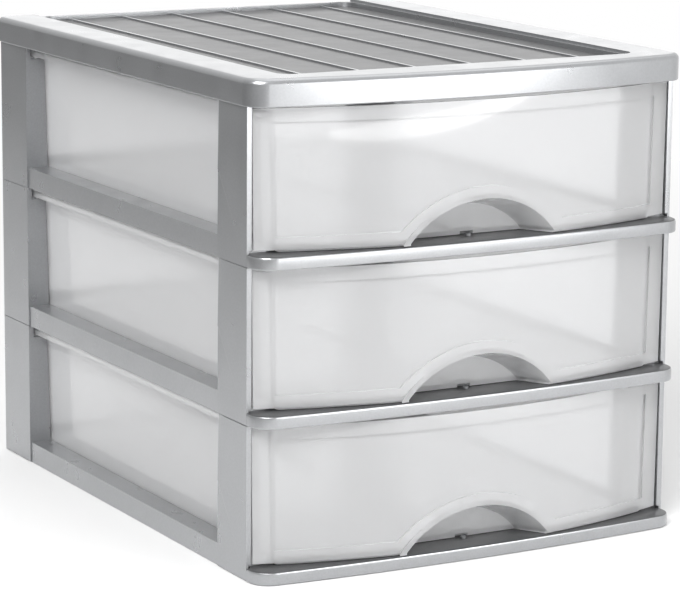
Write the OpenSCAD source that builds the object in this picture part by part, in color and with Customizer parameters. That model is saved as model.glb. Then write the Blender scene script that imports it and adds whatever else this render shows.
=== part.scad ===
// Stackable drawer box: three clear drawers in a silver frame built up in tiers.
// Millimetres, +Z up, front towards -Y. The origin is the centre of the footprint on the floor.

/* [Overall] */
// Width over the corner uprights
frame_w = 260; // [240:1:300]
// Depth from the front of the cover to its back
overall_d = 340; // [320:1:380]
// Height of one tier, from the underside of a deck to the next one
tier_h = 82.5; // [70:0.5:110]
// How far the cover, decks and drawer fronts stand out in front of the uprights
front_reach = 20; // [16:0.5:26]

/* [Deck] */
// Height of a deck's side and back rails
rail_h = 12; // [9:0.5:16]
// Height of the floor and front lip above the underside
floor_h = 7; // [5:0.5:8]
// Wall thickness of rails, floor and lip
deck_t = 2.5; // [2:0.1:3.5]
// Bow of the front lip between its corners
lip_bow = 5; // [1:0.5:10]
// Radius of the front corners of the lip and cover
front_corner_r = 12; // [6:1:20]

/* [Uprights] */
// Wall thickness of an upright's outer plate
upright_t = 3; // [2.6:0.1:4]
// Depth of a front upright along the side
front_upright_d = 33; // [24:1:50]
// Depth of a back upright along the side
back_upright_d = 39; // [28:1:60]
// Width of a back upright's leg across the back
back_leg_w = 26; // [18:1:50]
// Height of the tongue that joins an upright to the tier above
tongue_h = 5; // [3:0.5:6]

/* [Cover] */
// Height of the cover's skirt
cover_h = 14.5; // [12:0.5:20]
// How far the cover overhangs the uprights at the sides and back
cover_overhang = 2; // [1:0.5:4]
// Bow of the cover's front edge
cover_bow = 10; // [2:0.5:14]
// Width of the flat border at each side
border_w = 24; // [16:1:34]
// Depth of the recessed panel below the border
recess_d = 4; // [2:0.5:6]
// Number of raised ribs on the panel
rib_count = 6; // [2:1:10]
// Distance between neighbouring ribs
rib_pitch = 34.2; // [20:0.1:40]

/* [Drawer] */
// Bow of the drawer front between its ends
front_bow = 21; // [10:0.5:26]
// Wall thickness of a drawer
wall_t = 2; // [1.6:0.1:2.6]
// Width of the tub at the rim
tub_w = 235; // [215:1:238]
// How much narrower each side wall is at its foot
draft = 1.8; // [0.5:0.1:2.5]
// Width of the rim flange round the tub
rim_w = 8; // [5:0.5:9]
// How far the drawer slides out to its stop
travel = 240; // [180:5:250]
// Half width of the finger arch at its foot
arch_half = 46; // [30:1:60]
// Height of the finger arch at its top
arch_rise = 21; // [14:1:30]

/* [Hidden] */

silver = [0.66, 0.67, 0.69];
clear = [0.88, 0.90, 0.91, 0.55];

lower = 0;
middle = 1;
upper = 2;
tiers = 3;

gap = 0.3;                                     // clearance between pieces that move apart
eps = 0.01;                                    // overlap of cuts past a face

half_w = frame_w / 2;
front_y = -overall_d / 2;                      // furthest forward point of the object
back_y = overall_d / 2;                        // back of the cover
post_front_y = front_y + front_reach;          // front face of the uprights
post_back_y = back_y - cover_overhang;         // back face of the uprights
front_post_end_y = post_front_y + front_upright_d;
back_post_start_y = post_back_y - back_upright_d;

rail_x = half_w - 0.8;                         // side rails lie just inside the uprights' faces
riser_y = post_front_y + 3.7;                  // front end of the side ledges, which stops the drawer front
foot_x = half_w - upright_t - 0.1;             // side of a deck where an upright laps over it
tongue_t = 1.4;
lap_t = upright_t - 1.5;                       // rebate in an upright's foot, beside the tongue
seat_z = tongue_h + 0.2;                       // top of the tongue above the joint
seat_h = 2.8;
post_rim_z = tier_h - 7;                       // top of the guide flanges, below the drawer rims
guide_t = 2.5;
back_corner_r = 6;
upright_corner_r = 3;
facet_w = 12.5;                                // width of the facet at the top
facet_lean = 19;                               // degrees by which it leans across the upright

lip_mid_y = front_y + 0.5;
cover_half_w = half_w + cover_overhang;
cover_z = tiers * tier_h;
cover_t = 2.5;
cover_edge_r = 3;                              // rounding of its outer top edge
cover_back_r = 8;
panel_ledge_w = 3;                             // step between the border and the panel
panel_ledge_d = 1.5;
panel_front_y = post_front_y + 4 + panel_ledge_w;
panel_back_y = back_y - 3.5;
panel_half_w = cover_half_w - border_w - panel_ledge_w;
panel_corner_r = 8;

front_half_w = half_w - upright_t - 0.4;       // drawer front, between the uprights' plates
front_r = (pow(front_half_w, 2) + pow(front_bow, 2)) / (2 * front_bow);
front_foot_z = 8.5;
front_top_z = tier_h - 1.3;
front_t = 2.2;
panel_step = 0.7;                              // recess of the front's middle below its border
side_band = 10.5;
top_band = 7.3;
foot_band = 6.5;
tub_foot_z = floor_h + 0.4;
rim_z = tier_h - 1.5;
rim_t = 1.8;
rim_lip_h = 4;
tub_half = tub_w / 2;
ledge_x = tub_half - draft + 0.45;             // inner edge of the side ledges
tub_back_y = post_back_y - 15;
tub_corner_r = 9;
rim_rib_t = 1.6;                               // ribs that hang just above the drawers' rims
rim_rib_y = tub_back_y + rim_w / 2;
rim_rib_x = tub_half + rim_w / 2;
recess_back_y = post_front_y;                  // face of the finger recess's back wall
arch_r = (pow(arch_half, 2) + pow(arch_rise, 2)) / (2 * arch_rise);
recess_scale = 0.72;                           // the recess narrows towards its back
nub_y = post_front_y - 2;                      // the nub shows in the finger recess
nub_r = 1.6;
channel_w = 8;
channel_d = 1.6;
channel_end_y = nub_y + nub_r + travel + gap;

// ---- shared outlines ----

// Plan of a plate whose front edge is bowed and whose front corners are round.
// mid_y is the front edge's middle, join_y the straight back end of the shape.
module bowed_plan(w, bow, corner, mid_y, join_y) {
    bow_r = (pow(w - corner, 2) + pow(bow, 2)) / (2 * bow);
    arc_y = mid_y + bow_r;
    corner_x = w - corner;
    corner_y = arc_y - sqrt(pow(bow_r - corner, 2) - pow(corner_x, 2));
    touch_x = corner_x * bow_r / (bow_r - corner);
    intersection() {
        translate([0, arc_y]) circle(r = bow_r, $fn = 360);
        translate([-touch_x, mid_y - 1]) square([2 * touch_x, corner_y - mid_y + 1]);
    }
    for (side = [-1, 1])
        translate([side * corner_x, corner_y]) circle(r = corner, $fn = 64);
    translate([-w, corner_y]) square([2 * w, join_y - corner_y]);
}

module rounded_box_plan(x, y0, y1, r) {
    for (side = [-1, 1], y = [y0 + r, y1 - r])
        translate([side * (x - r), y]) circle(r = r, $fn = 64);
    translate([-x, y0 + r]) square([2 * x, y1 - y0 - 2 * r]);
    translate([-x + r, y0]) square([2 * (x - r), y1 - y0]);
}

// Repeats its children at the left and the right, mirrored
module both_sides() {
    children();
    mirror([1, 0, 0]) children();
}

module at_tier(tier) {
    translate([0, 0, tier * tier_h]) children();
}

// ---- deck: floor, side ledges, rails and front lip of one tier ----

module deck_plan(x, inset) {
    translate([-x, riser_y]) square([2 * x, post_back_y - 0.2 - inset - back_corner_r - riser_y]);
    rounded_box_plan(x, 0, post_back_y - 0.2 - inset, back_corner_r);
}

// Everything that lies behind a drawer front's wall
module behind_front_plan() {
    translate([0, front_y + front_r]) circle(r = front_r - front_t - 1.3, $fn = 360);
}

module deck_ribs() {
    // the rib above the back rim of the drawer below
    translate([-ledge_x, rim_rib_y, 0]) cube([2 * ledge_x, rim_rib_t, floor_h - 2]);
    for (x = [-84, -28, 28, 84])
        translate([x - 0.8, riser_y, 1.5]) cube([1.6, post_back_y - riser_y - 2, floor_h - 3.5]);
    for (y = [-70, 12, 94])
        translate([-ledge_x, y - 0.8, 1.5]) cube([2 * ledge_x, 1.6, floor_h - 3.5]);
}

// The hollow stays behind the top edge of the drawer front below
module deck_hollow_plan() {
    intersection() {
        union() {
            bowed_plan(half_w - deck_t, lip_bow, front_corner_r - deck_t, lip_mid_y + deck_t, post_front_y - 2);
            translate([-ledge_x, post_front_y - 8])
                square([2 * ledge_x, post_back_y - post_front_y + 8 - 0.2 - deck_t]);
        }
        behind_front_plan();
    }
}

module deck_shell() {
    difference() {
        union() {
            linear_extrude(height = floor_h)
                bowed_plan(half_w, lip_bow, front_corner_r, lip_mid_y, post_front_y - 0.15);
            linear_extrude(height = floor_h) translate([-foot_x, post_front_y - 1])
                square([2 * foot_x, 12]);
            linear_extrude(height = rail_h) deck_plan(rail_x, 0);
        }
        // hollow under the lip and the floor
        translate([0, 0, -eps]) linear_extrude(height = floor_h - deck_t + eps) deck_hollow_plan();
        // hollow under the side ledges
        both_sides() translate([ledge_x - 1, riser_y + deck_t, -eps])
            cube([foot_x - ledge_x - deck_t + 1, post_back_y - riser_y - 2 * deck_t - 4, rail_h - deck_t + eps]);
        // tray in which the drawer's foot runs
        translate([-ledge_x, riser_y - 2, floor_h])
            cube([2 * ledge_x, post_back_y - riser_y - 1.2, rail_h]);
    }
    // walls that carry the ledges
    both_sides() translate([ledge_x, riser_y, 0]) cube([1.8, post_back_y - riser_y - 6, rail_h]);
    deck_ribs();
}

module deck_upright_cuts() {
    both_sides() {
        translate([foot_x, post_front_y - 0.15, -1])
            cube([20, front_upright_d + 0.3, rail_h + 2]);
        translate([foot_x, back_post_start_y - 0.15, -1])
            cube([20, back_upright_d + 2, rail_h + 2]);
        translate([half_w - back_leg_w - 0.15, post_back_y - deck_t - 0.1, -1])
            cube([back_leg_w + 2, 10, rail_h + 2]);
    }
}

// small seats at the corners, which stand on the tongues of the tier below
module deck_seats() {
    both_sides() for (y = [post_front_y + 3, back_post_start_y + 3])
        translate([foot_x - eps, y, seat_z]) cube([tongue_t + 0.1, front_upright_d - 6, seat_h]);
}

module deck(tier) {
    color(silver) at_tier(tier) {
        difference() {
            deck_shell();
            deck_upright_cuts();
        }
        deck_seats();
        // nub that stops the drawer
        translate([0, nub_y, floor_h - 1]) cylinder(r = nub_r, h = 2.2, $fn = 32);
    }
}

// ---- uprights ----

// The outer plate with its tongue above and its rebate at the foot; x grows outwards
module upright_plate(y0, y1) {
    plate_x = half_w - upright_t;
    difference() {
        translate([plate_x, y0, 0]) cube([upright_t, y1 - y0, tier_h]);
        // room for the tongue and the deck's seat
        translate([plate_x - eps, y0 - 1, -eps]) cube([lap_t + eps, y1 - y0 + 2, seat_z + seat_h + 0.2]);
        // shadow line of the joint between tiers
        translate([half_w - 0.5, y0 - 1, -eps]) cube([1, y1 - y0 + 2, 0.5]);
    }
    translate([plate_x, y0 + 2.5, tier_h - 2]) cube([tongue_t, y1 - y0 - 7, tongue_h + 2]);
}

// Long shallow facet that narrows downwards from the top of a front upright
module upright_facet() {
    translate([half_w, front_post_end_y - facet_w, tier_h]) rotate([facet_lean, 0, 0])
        rotate([0, 0, 3.5]) translate([0, 0, -tier_h]) cube([2, 40, 2 * tier_h]);
}

// Flange beside the window, whose slanting edge guides the tub
module guide_flange(y) {
    top_x = tub_half + 0.8;
    foot_x_in = tub_half - draft + 0.9;
    plate_x = half_w - upright_t;
    translate([0, y + guide_t, 0]) rotate([90, 0, 0]) linear_extrude(height = guide_t)
        polygon([[foot_x_in, rail_h], [plate_x + 1, rail_h], [plate_x + 1, post_rim_z], [top_x, post_rim_z]]);
}

module upright(tier, front, side) {
    color(silver) at_tier(tier) mirror([side < 0 ? 1 : 0, 0, 0]) {
        if (front) {
            difference() {
                upright_plate(post_front_y, front_post_end_y);
                upright_facet();
            }
            guide_flange(front_post_end_y - guide_t);
        } else {
            intersection() {
                union() {
                    upright_plate(back_post_start_y, post_back_y);
                    translate([half_w - back_leg_w, post_back_y - deck_t, 0])
                        cube([back_leg_w - upright_t + 1, deck_t, tier_h]);
                }
                linear_extrude(height = tier_h + tongue_h)
                    rounded_box_plan(half_w, 0, post_back_y, upright_corner_r);
            }
            guide_flange(back_post_start_y);
        }
    }
}

// ---- top cover ----

module cover_plan(inset) {
    bowed_plan(cover_half_w - inset, cover_bow, front_corner_r - inset, front_y + inset, 0);
    rounded_box_plan(cover_half_w - inset, -20, back_y - inset, cover_back_r - inset);
}

// Block of the cover, rounded along its outer top edge in a few fine steps
module cover_solid() {
    hull() {
        linear_extrude(height = cover_h - cover_edge_r) cover_plan(0);
        for (a = [22.5 : 22.5 : 90])
            translate([0, 0, cover_h - cover_edge_r * (1 - sin(a)) - eps]) linear_extrude(height = eps)
                cover_plan(cover_edge_r * (1 - cos(a)));
    }
}

module panel_plan(grow) {
    rounded_box_plan(panel_half_w + grow, panel_front_y - grow, panel_back_y, panel_corner_r);
}

// The hollow stays behind the upper drawer front, but is open round the tongues of the uprights
module cover_hollow_plan() {
    intersection() {
        cover_plan(cover_t);
        union() {
            behind_front_plan();
            both_sides() translate([rim_rib_x, post_front_y - 6]) square([20, 40]);
        }
    }
}

// Ribs above the sides and back of the upper drawer's rim
module cover_rim_ribs() {
    panel_edge_x = panel_half_w + panel_ledge_w;
    both_sides() {
        translate([rim_rib_x - rim_rib_t, post_front_y, 0])
            cube([rim_rib_t, rim_rib_y - post_front_y + rim_rib_t, cover_h - cover_t + 0.5]);
        translate([panel_edge_x, rim_rib_y, 0])
            cube([rim_rib_x - panel_edge_x, rim_rib_t, cover_h - cover_t + 0.5]);
    }
    translate([-rim_rib_x, rim_rib_y, 0]) cube([2 * rim_rib_x, rim_rib_t, cover_h - recess_d - 1]);
}

module top_cover() {
    color(silver) translate([0, 0, cover_z]) {
        difference() {
            cover_solid();
            // hollow inside the skirt, under the border and under the panel
            translate([0, 0, -eps]) linear_extrude(height = cover_h - recess_d - cover_t + eps)
                cover_hollow_plan();
            difference() {
                translate([0, 0, -eps]) linear_extrude(height = cover_h - cover_t + eps) cover_hollow_plan();
                linear_extrude(height = cover_h) panel_plan(panel_ledge_w + cover_t);
            }
            // recess with a stepped edge, open to a low rim at the back
            translate([0, 0, cover_h - recess_d]) linear_extrude(height = cover_h) panel_plan(0);
            translate([0, 0, cover_h - panel_ledge_d]) linear_extrude(height = cover_h)
                panel_plan(panel_ledge_w);
            translate([-panel_half_w - panel_ledge_w, panel_back_y - 2 * panel_corner_r, cover_h - panel_ledge_d])
                cube([2 * (panel_half_w + panel_ledge_w), 60, cover_h]);
        }
        for (i = [0 : rib_count - 1])
            translate([(i - (rib_count - 1) / 2) * rib_pitch - 0.8, panel_front_y, cover_h - recess_d - 0.5])
                cube([1.6, panel_back_y - panel_front_y, 1.3]);
        cover_rim_ribs();
        // seats on the tongues of the uppermost uprights
        both_sides() for (y = [post_front_y + 3, back_post_start_y + 3])
            translate([half_w - upright_t, y, seat_z])
                cube([upright_t + 1, front_upright_d - 6, cover_h - seat_z - 1]);
    }
}

// ---- drawer ----

module front_cylinder(r, z0, z1) {
    translate([0, front_y + front_r, z0]) cylinder(r = r, h = z1 - z0, $fn = 720);
}

// Elevation of the front with its slightly slanting ends
module front_elevation(z0, z1, inset) {
    slant = draft * 0.5;
    polygon([[-front_half_w + slant + inset, z0], [front_half_w - slant - inset, z0],
             [front_half_w - inset, z1], [-front_half_w + inset, z1]]);
}

module arch_outline(lift) {
    translate([0, front_foot_z + lift + arch_rise - arch_r]) circle(r = arch_r, $fn = 180);
}

// Stands a flat outline up, so that it runs along Y from y0 to y1
module through_front(y0, y1) {
    translate([0, y1, 0]) rotate([90, 0, 0]) linear_extrude(height = y1 - y0) children();
}

module drawer_front() {
    difference() {
        intersection() {
            difference() {
                front_cylinder(front_r, front_foot_z, front_top_z);
                front_cylinder(front_r - front_t, 0, tier_h);
            }
            through_front(front_y - 5, -60) front_elevation(front_foot_z, front_top_z, 0);
        }
        // finger arch
        through_front(front_y - 5, -60) arch_outline(0);
        // middle panel, set back from its border
        difference() {
            intersection() {
                difference() {
                    front_cylinder(front_r + 5, 0, tier_h);
                    front_cylinder(front_r - panel_step, 0, tier_h);
                }
                through_front(front_y - 5, -60)
                    front_elevation(front_foot_z + foot_band, front_top_z - top_band, side_band);
            }
            through_front(front_y - 5, -60) arch_outline(foot_band);
        }
    }
}

module tub_solid(inset, z0, z1) {
    hull() {
        translate([0, 0, z0]) linear_extrude(height = eps)
            rounded_box_plan(tub_half - draft - inset, front_y - 5, tub_back_y - draft - inset,
                             tub_corner_r - inset, $fn = 32);
        translate([0, 0, z1 - eps]) linear_extrude(height = eps)
            rounded_box_plan(tub_half - inset, front_y - 5, tub_back_y - inset,
                             tub_corner_r - inset, $fn = 32);
    }
}

module recess_arch(half, rise, y, grow) {
    r = (pow(half, 2) + pow(rise, 2)) / (2 * rise) + grow;
    translate([0, y, 0]) rotate([90, 0, 0]) linear_extrude(height = eps)
        intersection() {
            translate([0, front_foot_z + rise + grow - r]) circle(r = r, $fn = 96);
            translate([-80, tub_foot_z - 0.01]) square([160, 60]);
        }
}

// Space behind the finger arch; grow thickens it into the wall round that space
module recess_solid(grow, y_front) {
    hull() {
        recess_arch(arch_half, arch_rise, y_front, grow);
        recess_arch(arch_half * recess_scale, arch_rise * recess_scale, recess_back_y + grow, grow);
    }
}

module drawer(tier) {
    color(clear) at_tier(tier) {
        difference() {
            union() {
                difference() {
                    intersection() {
                        tub_solid(0, tub_foot_z, rim_z);
                        front_cylinder(front_r - 0.5, 0, tier_h);
                    }
                    intersection() {
                        translate([0, 0, eps]) tub_solid(wall_t, tub_foot_z + wall_t, rim_z);
                        front_cylinder(front_r - front_t, 0, tier_h);
                    }
                }
                // wall of the finger recess, inside the tub
                intersection() {
                    recess_solid(wall_t, front_y + 2);
                    front_cylinder(front_r - 0.5, 0, tier_h);
                }
                // raised cover of the stop channel
                translate([-channel_w / 2 - wall_t, recess_back_y, tub_foot_z + 0.5])
                    cube([channel_w + 2 * wall_t, channel_end_y + wall_t - recess_back_y, channel_d + 1.3]);
                rim();
                drawer_front();
            }
            recess_solid(0, front_y - 1);
            translate([-channel_w / 2, recess_back_y - 5, tub_foot_z - eps])
                cube([channel_w, channel_end_y - recess_back_y + 5, channel_d]);
        }
    }
}

// Flange round the top of the tub, with its edge turned down
module rim() {
    difference() {
        intersection() {
            translate([0, 0, rim_z - rim_lip_h]) linear_extrude(height = rim_lip_h)
                rounded_box_plan(tub_half + rim_w, front_y - 5, tub_back_y + rim_w, tub_corner_r + rim_w - 2);
            front_cylinder(front_r - 0.5, 0, tier_h);
        }
        tub_solid(0.5, tub_foot_z, rim_z + 1);
        translate([0, 0, rim_z - rim_lip_h - eps]) linear_extrude(height = rim_lip_h - rim_t)
            rounded_box_plan(tub_half + rim_w - 1.6, front_y - 5, tub_back_y + rim_w - 1.6,
                             tub_corner_r + rim_w - 3.6);
    }
}

top_cover();
deck(upper);  // upper_deck
deck(middle);  // middle_deck
deck(lower);  // base_deck
upright(upper, true, -1);  // upper_upright_front_left
upright(upper, true, 1);  // upper_upright_front_right
upright(upper, false, -1);  // upper_upright_back_left
upright(upper, false, 1);  // upper_upright_back_right
upright(middle, true, -1);  // middle_upright_front_left
upright(middle, true, 1);  // middle_upright_front_right
upright(middle, false, -1);  // middle_upright_back_left
upright(middle, false, 1);  // middle_upright_back_right
upright(lower, true, -1);  // lower_upright_front_left
upright(lower, true, 1);  // lower_upright_front_right
upright(lower, false, -1);  // lower_upright_back_left
upright(lower, false, 1);  // lower_upright_back_right
drawer(upper);  // upper_drawer
drawer(middle);  // middle_drawer
drawer(lower);  // lower_drawer
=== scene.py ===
"""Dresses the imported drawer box: silver frame of decks, uprights and cover, and three frosted drawers."""

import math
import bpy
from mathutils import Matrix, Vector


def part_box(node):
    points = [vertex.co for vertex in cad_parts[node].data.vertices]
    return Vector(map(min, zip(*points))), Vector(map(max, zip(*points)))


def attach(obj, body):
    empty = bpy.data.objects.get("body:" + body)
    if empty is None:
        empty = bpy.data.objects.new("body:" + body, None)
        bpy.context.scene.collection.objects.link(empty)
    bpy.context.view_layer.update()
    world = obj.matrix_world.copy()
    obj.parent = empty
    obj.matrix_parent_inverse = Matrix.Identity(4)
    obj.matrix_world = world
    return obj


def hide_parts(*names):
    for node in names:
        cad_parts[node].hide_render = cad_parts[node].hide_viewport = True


bl_info = {
    "name": "Stackable drawer box",
    "version": (1, 0, 0),
    "blender": (4, 5, 0),
    "location": "View3D > Sidebar > Drawer box",
    "description": "Builds the silver frame and the frosted drawers of a stackable drawer box round its packed model",
    "category": "Object",
}

import bmesh
import bpy
from mathutils import Matrix, Vector

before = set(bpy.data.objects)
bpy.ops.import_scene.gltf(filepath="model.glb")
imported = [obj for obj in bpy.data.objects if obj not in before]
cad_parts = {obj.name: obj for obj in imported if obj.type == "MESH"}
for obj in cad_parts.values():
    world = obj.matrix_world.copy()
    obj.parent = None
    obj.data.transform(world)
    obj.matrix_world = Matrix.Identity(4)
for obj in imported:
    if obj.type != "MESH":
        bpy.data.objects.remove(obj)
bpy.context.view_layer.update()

MM = 0.001
WELD = 0.02  # points closer than this, in millimetres, are one point
HAIR = 0.02  # offset that keeps two joined solids from sharing a face
SLACK = 0.15  # room between pieces that lap


def node_box(node):
    """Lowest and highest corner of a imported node, in millimetres."""
    low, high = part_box(node)
    return [v / MM for v in low], [v / MM for v in high]


# ---- sizes in millimetres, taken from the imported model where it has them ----

DECK_LOW, DECK_HIGH = node_box("base_deck")
COVER_LOW, COVER_HIGH = node_box("top_cover")
POST_LOW, POST_HIGH = node_box("lower_upright_front_right")
BACK_POST_LOW, BACK_POST_HIGH = node_box("lower_upright_back_right")
DRAWER_LOW, DRAWER_HIGH = node_box("lower_drawer")
TIER_H = node_box("middle_deck")[0][2] - DECK_LOW[2]
TIERS = {"lower": 0.0, "middle": TIER_H, "upper": 2 * TIER_H}
DECKS = {"lower": "base_deck", "middle": "middle_deck", "upper": "upper_deck"}

HALF_W = DECK_HIGH[0]
POST_FRONT_Y = POST_LOW[1]
POST_END_Y = POST_HIGH[1]
BACK_POST_Y = BACK_POST_LOW[1]
BACK_Y = BACK_POST_HIGH[1]
POST_T = 3.0
POST_TOP_Z = POST_HIGH[2] - 5.0
TONGUE_T = 1.4
LAP_T = 1.5
LAP_Z = 8.2
GUIDE_T = 2.5
GUIDE_TOP_Z = TIER_H - 7.0
LEG_W = HALF_W - BACK_POST_LOW[0]
RAIL_H = DECK_HIGH[2]
FLOOR_Z = 7.0
WALL = 2.5
LEDGE_X = 116.15
RISER_Y = POST_FRONT_Y + 3.7
FOOT_X = HALF_W - POST_T - 0.1
RAIL_X = HALF_W - 0.8

FRONT_Y = DRAWER_LOW[1]
FRONT_HALF = DRAWER_HIGH[0]
FRONT_BOW = 21.0
FRONT_R = (FRONT_HALF**2 + FRONT_BOW**2) / (2 * FRONT_BOW)
FRONT_C = FRONT_Y + FRONT_R
FRONT_FOOT = 8.5
FRONT_TOP = DRAWER_HIGH[2]
FRONT_T = 2.2
FRONT_SLANT = 0.9
PANEL_STEP = 1.1
SIDE_BAND = 10.5
TOP_BAND = 7.3
FOOT_BAND = 6.5
ARCH_HALF = 46.0
ARCH_RISE = 21.0
ARCH_BACK = 0.72
TUB_HALF = 117.5
TUB_BACK = BACK_Y - 15.0
TUB_FOOT = DRAWER_LOW[2]
RIM_Z = TIER_H - 1.5
RIM_W = 8.0
DRAFT = 1.8
TUB_T = 2.0
SEAT_LENGTH = 27.0
SEAT_Z = 5.2
SEAT_STARTS = (POST_FRONT_Y + 3, BACK_POST_Y + 3)
RIB_HALF = 0.8


# ---- mesh making ----


def link(name, mesh):
    obj = bpy.data.objects.new(name, mesh)
    bpy.context.scene.collection.objects.link(obj)
    return obj


def solid(name, points, faces):
    """Closed solid from points in millimetres, with its faces turned outwards."""
    mesh = bpy.data.meshes.new(name)
    mesh.from_pydata([tuple(c * MM for c in p) for p in points], [], faces)
    work = bmesh.new()
    work.from_mesh(mesh)
    bmesh.ops.recalc_face_normals(work, faces=work.faces)
    work.to_mesh(mesh)
    work.free()
    return link(name, mesh)


def loft(name, rings):
    """Skin over closed rings of equal length, capped at both ends."""
    n = len(rings[0])
    points = [p for ring in rings for p in ring]
    faces = [tuple(range(n))[::-1], tuple(range(len(points) - n, len(points)))]
    for k in range(len(rings) - 1):
        for i in range(n):
            j = (i + 1) % n
            faces.append((k * n + i, k * n + j, (k + 1) * n + j, (k + 1) * n + i))
    return solid(name, points, faces)


def prism(name, outline, z0, z1):
    return loft(name, [[(x, y, z) for x, y in outline] for z in (z0, z1)])


def slab(name, outline, y0, y1):
    """Outline in x and z, run along y."""
    return loft(name, [[(x, y, z) for x, z in outline] for y in (y0, y1)])


def block(name, x0, x1, y0, y1, z0, z1):
    return prism(name, [(x0, y0), (x1, y0), (x1, y1), (x0, y1)], z0, z1)


def side_block(name, side, inner, outer, y0, y1, z0, z1):
    """Block between two distances from the middle, on the left side (-1) or the right one (1)."""
    x0, x1 = sorted((side * inner, side * outer))
    return block(name, x0, x1, y0, y1, z0, z1)


def combine(base, *steps):
    """Adds, cuts or keeps what each tool says, in order, and throws the tools away."""
    for kind, tool in steps:
        change = base.modifiers.new(kind.lower(), "BOOLEAN")
        change.operation = kind
        change.object = tool
        change.solver = "EXACT"
    bpy.context.view_layer.update()
    graph = bpy.context.evaluated_depsgraph_get()
    made = bpy.data.meshes.new_from_object(base.evaluated_get(graph))
    base.modifiers.clear()
    spent = base.data
    base.data = made
    bpy.data.meshes.remove(spent)
    for kind, tool in steps:
        discard(tool)
    return base


def discard(obj):
    mesh = obj.data
    bpy.data.objects.remove(obj)
    bpy.data.meshes.remove(mesh)


def duplicate(obj, name, matrix):
    """Copy of a solid with its points moved, turned outwards again if it was mirrored."""
    mesh = obj.data.copy()
    mesh.transform(matrix)
    if matrix.determinant() < 0:
        mesh.flip_normals()
    return link(name, mesh)


def arc(cx, cy, r, start, end, n):
    """Points of an arc, both ends included; angles in degrees."""
    out = []
    for i in range(n + 1):
        a = math.radians(start + (end - start) * i / n)
        out.append((cx + r * math.cos(a), cy + r * math.sin(a)))
    return out


def bowed_front(half, bow, corner, mid_y, inset=0.0, n=40, nc=10):
    """Front edge of a cover or lip from its left corner to its right: a wide arc between two round corners."""
    reach = half - corner
    r = (reach**2 + bow**2) / (2 * bow)
    cy = mid_y + r
    corner_y = cy - math.sqrt((r - corner) ** 2 - reach**2)
    turn = math.degrees(math.atan2(reach, cy - corner_y))
    left = arc(-reach, corner_y, corner - inset, 180, 270 - turn, nc)
    middle = arc(0, cy, r - inset, 270 - turn, 270 + turn, n)
    right = arc(reach, corner_y, corner - inset, 270 + turn, 360, nc)
    return left + middle[1:-1] + right


def rounded_back(half, back, corner, inset=0.0, n=8):
    """Back edge from its right corner to its left."""
    right = arc(half - corner, back - corner, corner - inset, 0, 90, n)
    left = arc(corner - half, back - corner, corner - inset, 90, 180, n)
    return right + left


def rounded_plan(half, y0, y1, corner, n=8):
    """Outline of a rectangle with four round corners."""
    left = arc(corner - half, y0 + corner, corner, 180, 270, n)
    right = arc(half - corner, y0 + corner, corner, 270, 360, n)
    return left + right + rounded_back(half, y1, corner, 0.0, n)


FLAT_ANGLE = 0.05
ROOM = 2.4  # how many times its rounding an edge's surroundings have to be wide


def merge_flats(work):
    """Welds points that the cuts left side by side and joins the pieces of one flat or one straight edge."""
    bmesh.ops.remove_doubles(work, verts=work.verts, dist=WELD * MM)
    bmesh.ops.dissolve_limit(work, angle_limit=math.radians(FLAT_ANGLE), verts=work.verts, edges=work.edges)
    bmesh.ops.dissolve_degenerate(work, edges=work.edges, dist=WELD * MM)


def has_room(edge, width, angle):
    """Whether an edge is sharp and everything round it is wide enough to be rounded."""
    if len(edge.link_faces) != 2 or edge.calc_face_angle(0) < math.radians(angle):
        return False
    for face in edge.link_faces:
        if face.calc_area() / max(e.calc_length() for e in face.edges) < ROOM * width:
            return False
    return all(e.calc_length() > ROOM * width for v in edge.verts for e in v.link_edges)


def soften(obj, width, second=False, segments=2, angle=38.0):
    """Rounds the sharp edges as a mould does, keeps the flats flat and may give the roundings the second finish."""
    work = bmesh.new()
    work.from_mesh(obj.data)
    merge_flats(work)
    sharp = [e for e in work.edges if has_room(e, width * MM, angle)]
    rounded = bmesh.ops.bevel(
        work,
        geom=sharp,
        offset=width * MM,
        offset_type="OFFSET",
        segments=segments,
        profile=0.5,
        affect="EDGES",
        clamp_overlap=True,
    )
    if second:
        for face in rounded["faces"]:
            face.material_index = 1
    bmesh.ops.triangulate(work, faces=[f for f in work.faces if len(f.verts) > 4])
    for face in work.faces:
        face.smooth = True
    for e in work.edges:
        e.smooth = len(e.link_faces) == 2 and e.calc_face_angle(0) < math.radians(angle)
    work.to_mesh(obj.data)
    work.free()
    even = obj.modifiers.new("even shading", "WEIGHTED_NORMAL")
    even.mode = "FACE_AREA_WITH_ANGLE"
    even.weight = 60
    even.keep_sharp = True


def paint_flats(obj, finish, z, half, front, back=1000.0, tolerance=0.3, upright=0.9):
    """Gives the level faces at height z, within half the width and between two lines, a second material: another
    finish or a painted shade.
    """
    obj.data.materials.append(finish)
    for face in obj.data.polygons:
        level = abs(face.center.z - z * MM) < tolerance * MM and face.normal.z > upright
        if level and abs(face.center.x) < half * MM and front * MM < face.center.y < back * MM:
            face.material_index = len(obj.data.materials) - 1


def dress(obj, name, node, body, material):
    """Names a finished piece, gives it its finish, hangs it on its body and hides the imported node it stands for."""
    obj.name = name
    obj.data.name = name
    obj.data.materials.append(material)
    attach(obj, body)
    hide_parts(node)


# ---- cover ----

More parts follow.
